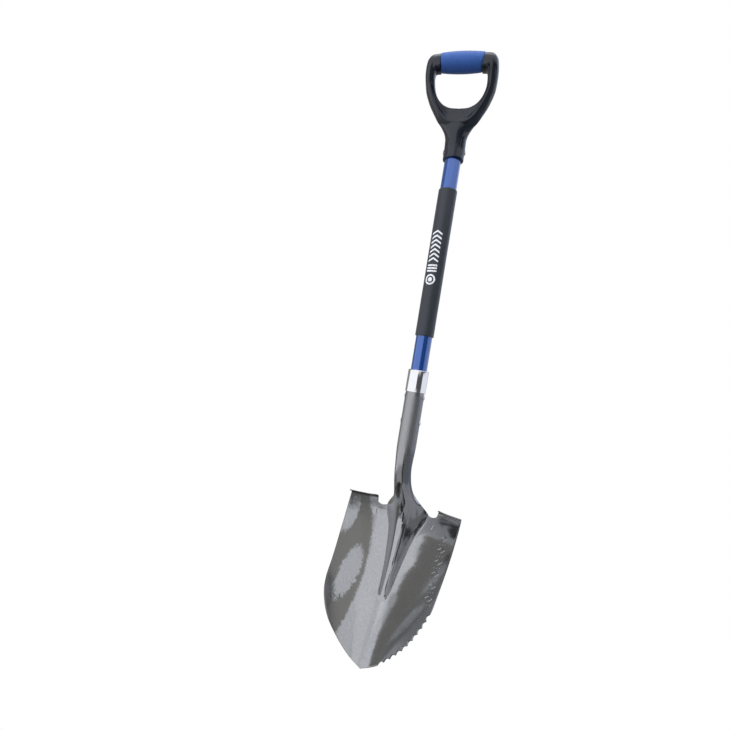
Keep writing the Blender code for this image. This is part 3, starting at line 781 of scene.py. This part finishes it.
def denser_columns(rows, ratio):
    """The rows with smooth points put in between, and where each point lies among the old columns."""
    last = rows.shape[1] - 1
    places = np.linspace(0, last, last * ratio + 1)
    low = np.clip(places.astype(int), 0, last - 1)
    part = (places - low)[:, None]
    padded = np.concatenate([2 * rows[:, :1] - rows[:, 1:2], rows, 2 * rows[:, -1:] - rows[:, -2:-1]], 1)
    p0, p1, p2, p3 = (padded[:, low + k] for k in range(4))
    dense = 0.5 * (2 * p1 + (p2 - p0) * part + (2 * p0 - 5 * p1 + 4 * p2 - p3) * part ** 2
                   + (3 * p1 - p0 - 3 * p2 + p3) * part ** 3)
    return dense, places


def blade(finish):
    ridge_steps, fine_ratio = 4, 2
    half = half_columns(ridge_steps)
    columns = np.concatenate([-half[:0:-1], half])
    rows = blade_rows(half)
    grid = []
    for (left_x, left_s), (right_x, right_s) in rows:
        x = np.concatenate([-left_x[:0:-1], right_x])
        s = np.concatenate([left_s[:0:-1], right_s])
        grid.append(blade_point(x, s))
    grid = np.array(grid)
    middle = len(half) - 1
    reach = RIDGE_COLUMNS * ridge_steps
    inner = slice(middle - reach, middle + reach + 1)

    shares = socket_shares()
    neck = np.array(neck_rows(grid[0][inner], columns[inner], shares))
    even_join(grid, neck, shares, inner)
    neck, places = denser_columns(neck, fine_ratio)
    lift = knurl(neck, np.interp(places, np.arange(len(columns[inner])), columns[inner])[None, :])
    outward = neck.copy()
    outward[..., 2] = 0
    outward /= np.maximum(np.linalg.norm(outward, axis=-1, keepdims=True), 1e-9)
    neck = neck + outward * lift[..., None]

    sheet = Sheet()
    indices = []
    last = len(grid) - 1
    for i, points in enumerate(grid):
        if i < last:
            indices.append(sheet.row(points))
        else:
            left = sheet.row(points[:middle + 1])
            indices.append(left + left[:-1][::-1])
    for upper, lower in zip(indices, indices[1:]):
        sheet.strip(upper, lower)
    lower = indices[0][inner]
    for k, points in enumerate(neck):
        upper = sheet.row(points)
        if k == 0:
            sheet.narrowing_strip(upper, lower, fine_ratio)
        else:
            sheet.strip(upper, lower)
        lower = upper
    start = int(np.searchsorted(half, STEP_COLUMN - 1e-9))
    for side in (-1, 1):
        cells = [middle + side * c for c in range(start, len(half))]
        edge = grid[0][cells]
        down = grid[1][cells] - edge
        down /= np.linalg.norm(down, axis=1, keepdims=True)
        lower = [indices[0][c] for c in cells]
        for points in step_rows(edge, down):
            upper = sheet.row(points)
            sheet.strip(upper, lower)
            lower = upper

    vertices = np.array(sheet.vertices)
    for v in vertices:
        if v[2] < WAVE_TOP:
            v[1] += sum(height * noise.noise(Vector(v) * scale) for height, scale in PRESS_WAVES)
    obj = mesh_object("blade_shell", vertices, sheet.faces, finish)
    modifier(obj, "SOLIDIFY", thickness=SHEET_THICKNESS, offset=0)
    modifier(obj, "BEVEL", width=0.4 * MM, segments=2, limit_method="ANGLE", angle_limit=math.radians(60))
    apply_modifiers(obj)
    obj.data.shade_smooth()
    obj.data.set_sharp_from_angle(angle=math.radians(50))
    show(obj, "coated_steel", "blade")


def bead(vertices, faces, path, thickness, closed=False):
    """Adds a round raised line along a path of (X, S) on the blade's front."""
    x, s = np.array(path).T
    points = blade_point(x, s)
    step = 0.2 * MM
    normals = np.cross(blade_point(x + step, s) - blade_point(x - step, s),
                       blade_point(x, s + step) - blade_point(x, s - step))
    normals /= np.linalg.norm(normals, axis=1, keepdims=True)
    normals *= -np.sign(normals[:, 1:2])
    points = points + normals * SHEET_THICKNESS / 2
    count, sides = len(points), 10
    first = len(vertices)
    for i in range(count):
        ahead = points[(i + 1) % count] if closed or i < count - 1 else points[i]
        behind = points[i - 1] if closed or i > 0 else points[i]
        run = ahead - behind
        run /= np.linalg.norm(run)
        across = np.cross(run, normals[i])
        end = min(i, count - 1 - i)
        size = thickness if closed or end > 1 else thickness * (0.35, 0.8)[end]
        for cosine, sine in circle(sides):
            vertices.append(points[i] + size * (cosine * across + sine * normals[i]))
    faces += ring_faces(count, sides, first, closed)


def blade_marks(finish):
    """A band of plain pressed lozenges and pips down the blade's right side."""
    vertices, faces = [], []
    for k in range(MARK_COUNT):
        s = MARK_START + MARK_PITCH * k
        x = MARK_MIDDLE - 0.03 * MM * k
        if k % 2 == 0:
            wide, tall = LOZENGE
            corners = [(x + wide, s), (x, s + tall), (x - wide, s), (x, s - tall)]
            path = []
            for a, b in zip(corners, corners[1:] + corners[:1]):
                for t in (0.06, 0.28, 0.5, 0.72, 0.94):
                    path.append((a[0] + (b[0] - a[0]) * t, a[1] + (b[1] - a[1]) * t))
            bead(vertices, faces, path, LOZENGE_BEAD, True)
        else:
            for side in (-1, 0, 1):
                middle = x + PIP_SPACING * side
                path = [(middle + t * MM, s) for t in (-1.3, -1.0, -0.5, 0.5, 1.0, 1.3)]
                bead(vertices, faces, path, PIP_BEAD)
    obj = mesh_object("blade_marks", vertices, faces, finish)
    modifier(obj, "SUBSURF", levels=1, render_levels=1)
    show(apply_modifiers(obj), "coated_steel")


# ---- Handle

def handle_tube(finish):
    inner = TUBE_RADIUS - 1.4 * MM
    bottom, top = TUBE_SPAN
    profile = rounded([(inner, bottom), (TUBE_RADIUS, bottom), (TUBE_RADIUS, top), (inner, top)],
                      [0, 0.4 * MM, 0.4 * MM, 0])
    show(turned("tube_shell", profile, finish), "blue_paint", "handle_tube")


def foam_swell(angle, height):
    around = Vector((math.cos(angle), math.sin(angle), height * 18))
    return 0.14 * MM * noise.noise(around * 1.3)


def foam_print(finish):
    """A plain printed pattern on the front of the foam: a roundel, three bars and a row of chevrons."""
    vertices, faces = [], []

    def radius(arc, height):
        angle = arc / FOAM_RADIUS - math.pi / 2
        return FOAM_RADIUS + foam_swell(angle, height) + PRINT_LIFT

    def ring(inner, outer, height):
        def shape(u, v):
            reach, angle = inner + (outer - inner) * v, 2 * math.pi * u
            return reach * math.cos(angle), height + reach * math.sin(angle)
        cylinder_patch(vertices, faces, shape, radius, PRINT_DEPTH, (48, 5), PRINT_TURN)

    def bar(height, stroke, rise):
        def shape(u, v):
            arc = PRINT_HALF_WIDTH * (2 * u - 1)
            return arc, height + stroke * (v - 0.5) + rise * (1 - abs(arc) / PRINT_HALF_WIDTH)
        cylinder_patch(vertices, faces, shape, radius, PRINT_DEPTH, (24, 2), PRINT_TURN)

    ring(6.4 * MM, PRINT_HALF_WIDTH, ROUNDEL_HEIGHT)
    ring(0.2 * MM, 3.8 * MM, ROUNDEL_HEIGHT)
    for (start, pitch, count), stroke, rise in ((PRINT_BARS, 2.8, 0), (PRINT_CHEVRONS, 3.2, 5.5)):
        for k in range(count):
            bar(start + pitch * k, stroke * MM, rise * MM)
    show(mesh_object("foam_print", vertices, faces, finish, SHAFT, 40), "foam")


def foam_sleeve(finish):
    inner = TUBE_RADIUS + 0.3 * MM
    low, high = FOAM_SPAN
    steps = 160
    outer = [(FOAM_RADIUS, low + 2 * MM + (high - low - 4 * MM) * k / steps) for k in range(steps + 1)]
    start = rounded([(inner, low), (FOAM_RADIUS, low), (FOAM_RADIUS, low + 2 * MM)], [0, 1.2 * MM, 0])[:-1]
    end = rounded([(FOAM_RADIUS, high - 2 * MM), (FOAM_RADIUS, high), (inner, high)], [0, 1.2 * MM, 0])[1:]
    obj = turned("foam_skin", start + outer + end, finish, 144, bump=foam_swell)
    show(obj, "foam", "foam_sleeve")


def ferrule(finish):
    inner = FERRULE_RADIUS - 0.9 * MM
    lip = TUBE_RADIUS + 0.3 * MM
    top = FERRULE_TOP
    under = top - 0.9 * MM
    corners = [(inner, 0), (FERRULE_RADIUS, 0), (FERRULE_RADIUS, top), (lip, top), (lip, under),
               (inner, under)]
    profile = rounded(corners, [0, 0.5 * MM, 1.6 * MM, 0.3 * MM, 0, 0], 6)
    show(turned("ferrule_band", profile, finish, 160), "chrome", "ferrule")


def rivet(name, height, reach, place, finish):
    """Domed head at each end of a shank along X, with a pressed rim."""
    dome = [(2.6 * MM, reach)]
    steps = 10
    for k in range(steps + 1):
        angle = math.pi / 2 * k / steps
        dome.append((RIVET_HEAD_RADIUS * math.cos(angle) ** 0.8 if k < steps else 0,
                     reach + RIVET_HEAD_HEIGHT * math.sin(angle)))
    profile = [(r, -h) for r, h in reversed(dome)] + dome
    turn = Matrix.Translation((0, 0, height)) @ Matrix.Rotation(math.pi / 2, 4, "Y")
    obj = turned(name + "_heads", profile, finish, 40, place @ turn)
    show(obj, "rivet_steel", name)


# ---- D-grip

def lean(height):
    share = min(max((height - LEAN_START) / (BAR_HEIGHT - LEAN_START), 0), 1) ** LEAN_POWER
    return BAR_OFFSET * share


def loop_section(station, side, count):
    """Closed ring of points round one station of the loop, on one side of the grip."""
    xi, zi, xo, zo, crest, share, web, level = station
    profile = [(0, 0), (0.03, 0.55 * web), (0.12, 0.95 * web), (share * 0.6, web + 0.35 * (crest - web)),
               (share, crest), (0.5 + share / 2, 0.84 * crest), (0.9, 0.5 * crest), (1, 0)]
    fine = np.linspace(0, len(profile) - 1, count)
    fs, ds = (curve(list(enumerate(column)), fine) for column in zip(*profile))
    pairs = list(zip(fs, ds)) + [(f, -d) for f, d in list(zip(fs, ds))[-2:0:-1]]
    ring = []
    for f, d in pairs:
        x, z = xi + (xo - xi) * f, zi + (zo - zi) * f
        middle = lean(z * MM).lerp(lean(BAR_HEIGHT), level)
        ring.append(middle + Vector((side * x, -d, z)) * MM)
    return ring


def bar_section(x, count):
    middle = lean(BAR_HEIGHT) + Vector((0, 0, BAR_HEIGHT))
    return [middle + Vector((x, -BAR_CORE_RADIUS * sine, -BAR_CORE_RADIUS * cosine))
            for cosine, sine in circle(count)]


def grip_body(finish):
    profile_points = 22
    count = 2 * profile_points - 2
    fine = np.linspace(0, len(LOOP) - 1, 8 * (len(LOOP) - 1) + 1)
    stations = np.stack([curve(list(enumerate(column)), fine) for column in zip(*LOOP)], 1)
    rings = [loop_section(s, 1, profile_points) for s in stations]
    shoulder = BAR_HALF_LENGTH + 0.3 * MM
    rings += [bar_section(shoulder * (1 - k / 10), count) for k in range(21)]
    rings += [loop_section(s, -1, profile_points) for s in stations[:0:-1]]
    vertices = [v for ring in rings for v in ring]
    loop = mesh_object("grip_shell", vertices, ring_faces(len(rings), count), finish, GRIP)

    # Collar and neck
    heights = np.linspace(STEM[0][0], STEM[-1][0], 60)
    widths, depths = (curve([(row[0], row[c]) for row in STEM], heights) for c in (1, 2))
    sides = 96
    vertices = []
    for z, width, depth in zip(heights, widths, depths):
        for cosine, sine in circle(sides):
            vertices.append(lean(z * MM) + Vector((width * cosine, depth * sine, z)) * MM)
    faces = ring_faces(len(heights), sides, closed=False)
    stem = mesh_object("grip_stem_shape", vertices, faces, finish, GRIP)
    modifier(loop, "BOOLEAN", operation="UNION", solver="EXACT", object=stem)
    modifier(loop, "REMESH", mode="VOXEL", voxel_size=0.8 * MM)
    modifier(loop, "SMOOTH", factor=0.5, iterations=3)
    bore = TUBE_RADIUS + 0.3 * MM
    low, high = 400 * MM, TUBE_SPAN[1] + 0.3 * MM
    profile = [(0, low), (bore, low), (bore, high), (0, high)]
    cutter = turned("grip_bore_shape", profile, finish, 96, GRIP)
    modifier(loop, "BOOLEAN", operation="DIFFERENCE", solver="EXACT", object=cutter)
    apply_modifiers(loop)
    for shape in (stem, cutter):
        bpy.data.objects.remove(shape)
    loop.data.shade_smooth()
    loop.data.set_sharp_from_angle(angle=math.radians(45))
    show(loop, "black_plastic", "d_grip_body")


def bar_sleeve(finish):
    inner = BAR_CORE_RADIUS + 0.3 * MM
    steps = 60
    outer = []
    for k in range(steps + 1):
        x = BAR_HALF_LENGTH * (2 * k / steps - 1)
        rise = (BAR_SLEEVE_MIDDLE_RADIUS - BAR_SLEEVE_END_RADIUS) * (1 - (x / BAR_HALF_LENGTH) ** 2)
        edge = min(1, (BAR_HALF_LENGTH - abs(x)) / (1.2 * MM))
        soft = 0.8 * MM * (1 - math.sqrt(max(0, 1 - (1 - edge) ** 2)))
        outer.append((BAR_SLEEVE_END_RADIUS + rise - soft, x))
    profile = [(inner, -BAR_HALF_LENGTH)] + outer + [(inner, BAR_HALF_LENGTH)]
    middle = lean(BAR_HEIGHT) + Vector((0, 0, BAR_HEIGHT))
    turn = Matrix.Translation(middle) @ Matrix.Rotation(math.pi / 2, 4, "Y")
    cover = turned("bar_cover", profile, finish, 120, GRIP @ turn)
    for vertex in cover.data.vertices:
        upward = -vertex.co.x / BAR_SLEEVE_END_RADIUS
        vertex.co.z *= 1 + BAR_SLEEVE_SLANT / BAR_HALF_LENGTH * upward
    show(cover, "blue_soft", "grip_bar_sleeve")


def collar_ribs(finish):
    """Two flat ribs with rounded tops down the front of the collar."""
    vertices, faces = [], []
    low, high = STEM[0][0] * MM + 0.5 * MM, 446.5 * MM
    for middle in (-RIB_ANGLE, RIB_ANGLE):
        start = len(vertices)

        def shape(u, v):
            height = low + (high - low) * (1 - (1 - v) ** 1.6)
            top = (high - height) / (RIB_WIDTH / 2)
            half = RIB_WIDTH / 2 * (math.sqrt(max(0, 1 - (1 - top) ** 2)) if top < 1 else 1)
            return (2 * u - 1) * half, height

        def radius(arc, height):
            edge = min(1, max(0, (RIB_WIDTH / 2 - abs(arc)) / (0.9 * MM)))
            return COLLAR_RADIUS + 0.1 * MM + 0.8 * MM * math.sqrt(1 - (1 - edge) ** 2)

        cylinder_patch(vertices, faces, shape, radius, 2 * MM, (14, 40))
        turn = Matrix.Rotation(middle, 4, "Z")
        for i in range(start, len(vertices)):
            point = turn @ Vector(vertices[i])
            vertices[i] = tuple(point + lean(point.z))
    show(mesh_object("collar_ribs", vertices, faces, finish, GRIP, 40), "black_plastic")


# ---- Stage

def emitter(name):
    """Plain white that gives off its own light."""
    mat = bpy.data.materials.new(name)
    mat.use_nodes = True
    mat.node_tree.nodes.clear()
    tree = Tree(mat.node_tree)
    glow = tree.add("ShaderNodeEmission", {"Color": (1, 1, 1, 1), "Strength": 1.0})
    tree.link(glow.outputs[0], tree.add("ShaderNodeOutputMaterial").inputs["Surface"])
    return mat


class Studio(Tree):
    """The studio as the shovel sees it: soft panels of light round it, by azimuth and elevation in degrees.

    Azimuth 0 is in front of the shovel and 90 is at its +X side.
    """

    def __init__(self, name):
        world = bpy.data.worlds.new(name)
        bpy.context.scene.world = world
        world.use_nodes = True
        super().__init__(world.node_tree)
        x, y, z = self.split(self.add("ShaderNodeTexCoord").outputs["Generated"])
        self.azimuth = self.math("DEGREES", self.math("ARCTAN2", x, self.math("MULTIPLY", y, -1.0)))
        self.elevation = self.math("DEGREES", self.math("ARCSINE", z))
        self.light = (0, 0, 0)

    def window(self, value, middle, half, soft):
        """1 within half of the middle, falling to 0 over twice the softness."""
        away = self.math("ABSOLUTE", self.math("WRAP", self.math("SUBTRACT", value, middle), 180.0, -180.0))
        fall = self.add("ShaderNodeMapRange",
                        {"From Min": half - soft, "From Max": half + soft, "To Min": 1.0, "To Max": 0.0},
                        interpolation_type="SMOOTHSTEP")
        self.link(away, fall.inputs["Value"])
        return fall.outputs[0]

    def panel(self, azimuths, elevations, brightness, tint=(0.975, 0.99, 1.03), soft=1.5, slant=0.0):
        """Lays a panel over the earlier ones.

        Slant is how many degrees it moves round for each degree up from SLANT_LEVEL.
        """
        (a0, a1), (e0, e1) = azimuths, elevations
        azimuth = self.azimuth
        if slant:
            up = self.math("SUBTRACT", self.elevation, SLANT_LEVEL)
            azimuth = self.math("SUBTRACT", azimuth, self.math("MULTIPLY", up, slant))
        across = self.window(azimuth, (a0 + a1) / 2, (a1 - a0) / 2, soft)
        height = self.window(self.elevation, (e0 + e1) / 2, (e1 - e0) / 2, soft)
        share = self.math("MULTIPLY", across, height)
        self.light = self.mix(share, self.light, tuple(brightness * c for c in tint))

    def finish(self):
        background = self.tree.nodes["Background"]
        self.link(self.light, background.inputs["Color"])
        background.inputs["Strength"].default_value = 1.0


def stage():
    """White floor and backdrop, which the shovel's own light and shine take no notice of."""
    height = CAD_BOX[0].z - FLOOR_DROP
    corners = [(-1, -1), (1, -1), (1, 1), (-1, 1)]
    vertices = [(ROOM_SIZE * x, ROOM_SIZE * y, height) for x, y in corners]
    floor = mesh_object("floor", vertices, [(0, 1, 2, 3)], emitter("floor_paint"), Matrix.Identity(4))
    backdrop_mesh = bpy.data.meshes.new("backdrop")
    bm = bmesh.new()
    bmesh.ops.create_icosphere(bm, subdivisions=4, radius=ROOM_SIZE * 0.9)
    bm.to_mesh(backdrop_mesh)
    bm.free()
    backdrop = linked("backdrop", backdrop_mesh)
    backdrop.data.materials.append(emitter("backdrop_paper"))
    for obj in (floor, backdrop):
        for effect in ("glossy", "diffuse", "shadow", "transmission"):
            setattr(obj, "visible_" + effect, False)


def soft_sun(name, azimuth, elevation, strength, spread, tint=(1, 1, 1)):
    """Diffuse light from one side that doesn't show in the shine."""
    data = bpy.data.lights.new(name, "SUN")
    data.energy = strength
    data.angle = math.radians(spread)
    data.color = tint
    light = linked(name, data)
    a, e = math.radians(azimuth), math.radians(elevation)
    away = Vector((math.sin(a) * math.cos(e), -math.cos(a) * math.cos(e), math.sin(e)))
    light.rotation_euler = away.to_track_quat("Z", "Y").to_euler()
    light.visible_glossy = False


def studio():
    warm, cool = (1.03, 1.0, 0.96), (0.82, 0.92, 1.15)
    sky = Studio("studio")
    # Dim room, and lighter and darker fields in it at the left, the right front and the right
    sky.panel((-180, 180), (-90, 90), 0.16, (0.97, 0.98, 1.04), 0)
    sky.panel((-180, -50), (-80, -8), 0.24, warm, 3)
    sky.panel((-180, -50), (-10, 46), 0.28, warm, 1)
    sky.panel((-95, -45), (42, 64), 0.7, soft=2)
    sky.panel((19, 72), (-80, -2), 0.24, soft=4)
    sky.panel((24, 72), (-13, -6), 0.10)
    sky.panel((13, 74), (-6.5, 4), 0.085)
    sky.panel((42, 72), (4, 20), 0.10)
    sky.panel((12, 44), (4, 21), 0.7, soft=2)
    sky.panel((14, 72), (20, 27), 0.085)
    sky.panel((38, 62), (24, 46), 0.8)
    sky.panel((72, 168), (-70, -4), 0.26, (0.80, 0.92, 1.15), 5)
    # Light overhead, and a glow low at the left front
    sky.panel((-160, 160), (66, 114), 2.2, soft=6)
    sky.panel((-92, 0), (-80, -22), 0.55, soft=6)
    # Large light at the left front, with a leaning edge, and a brighter one above it
    sky.panel((-60, 12), (-3, 60), 1.0, slant=0.9)
    sky.panel((-60, 12), (-28, 46), 1.12, slant=0.9)
    sky.panel((-45, 1), (-28, 46), 1.12)
    sky.panel((-45, 25), (-13, -6.5), 1.12)
    sky.panel((-45, 12), (-6.5, 46), 1.12)
    sky.panel((-45, 16), (4, 20), 1.12)
    sky.panel((-46, -20), (50, 64), 1.3, soft=3)
    # Lights at the right front
    sky.panel((4, 84), (42.5, 60), 1.12)
    sky.panel((4, 41), (35, 60), 1.12)
    sky.panel((4, 52), (27.5, 36), 1.12)
    sky.panel((58, 104), (23, 45.5), 0.98)
    sky.panel((48, 68), (13, 25), 0.9)
    # Cool lights at the right
    sky.panel((108, 175), (10, 62), 0.95, cool, 3)
    sky.panel((100, 168), (-8, 13), 0.6, (0.88, 0.94, 1.10))
    sky.panel((72, 168), (-8, 4), 0.92, (0.93, 0.95, 1.05), 1)
    sky.finish()
    soft_sun("key", -25, 35, 1.7, 50)
    soft_sun("top", 10, 80, 0.9, 60)
    soft_sun("side", 95, 10, 0.35, 60, (0.85, 0.93, 1.12))
    soft_sun("rear", 190, 20, 0.5, 70)


def camera():
    """The viewpoint: in front of the ferrule and to its right, and rolled a little."""
    data = bpy.data.cameras.new("camera")
    data.sensor_width = 36
    data.lens = CAMERA_LENS
    data.clip_start = 0.01
    data.shift_x, data.shift_y = CAMERA_SHIFT
    obj = linked("camera", data)
    turn = (Matrix.Rotation(CAMERA_AZIMUTH, 4, "Z") @ Matrix.Rotation(math.radians(90), 4, "X")
            @ Matrix.Rotation(CAMERA_ROLL, 4, "Z"))
    obj.matrix_world = SHAFT @ Matrix.Translation(CAMERA_PLACE) @ turn
    bpy.context.scene.camera = obj
    bpy.context.scene.view_settings.view_transform = "Standard"
    bpy.context.scene.view_settings.look = "None"


steel, rivets = coated_steel(), rivet_steel()
blade(steel)
blade_marks(steel)
handle_tube(blue_paint())
foam_sleeve(foam())
foam_print(white_ink())
ferrule(chrome())
for rivet_name, rivet_height in SOCKET_RIVETS.items():
    rivet(rivet_name, rivet_height, SOCKET_RADIUS + SHEET_THICKNESS / 2 + 0.3 * MM, SHAFT, rivets)
plastic = black_plastic()
grip_body(plastic)
collar_ribs(plastic)
bar_sleeve(blue_soft())
rivet("grip_rivet", GRIP_RIVET_HEIGHT, COLLAR_RADIUS + 0.3 * MM, GRIP, rivets)
wood = core_wood()
for node in ("socket_core_plug", "grip_core_plug"):
    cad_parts[node].data.materials.clear()
    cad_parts[node].data.materials.append(wood)

stage()
studio()
camera()
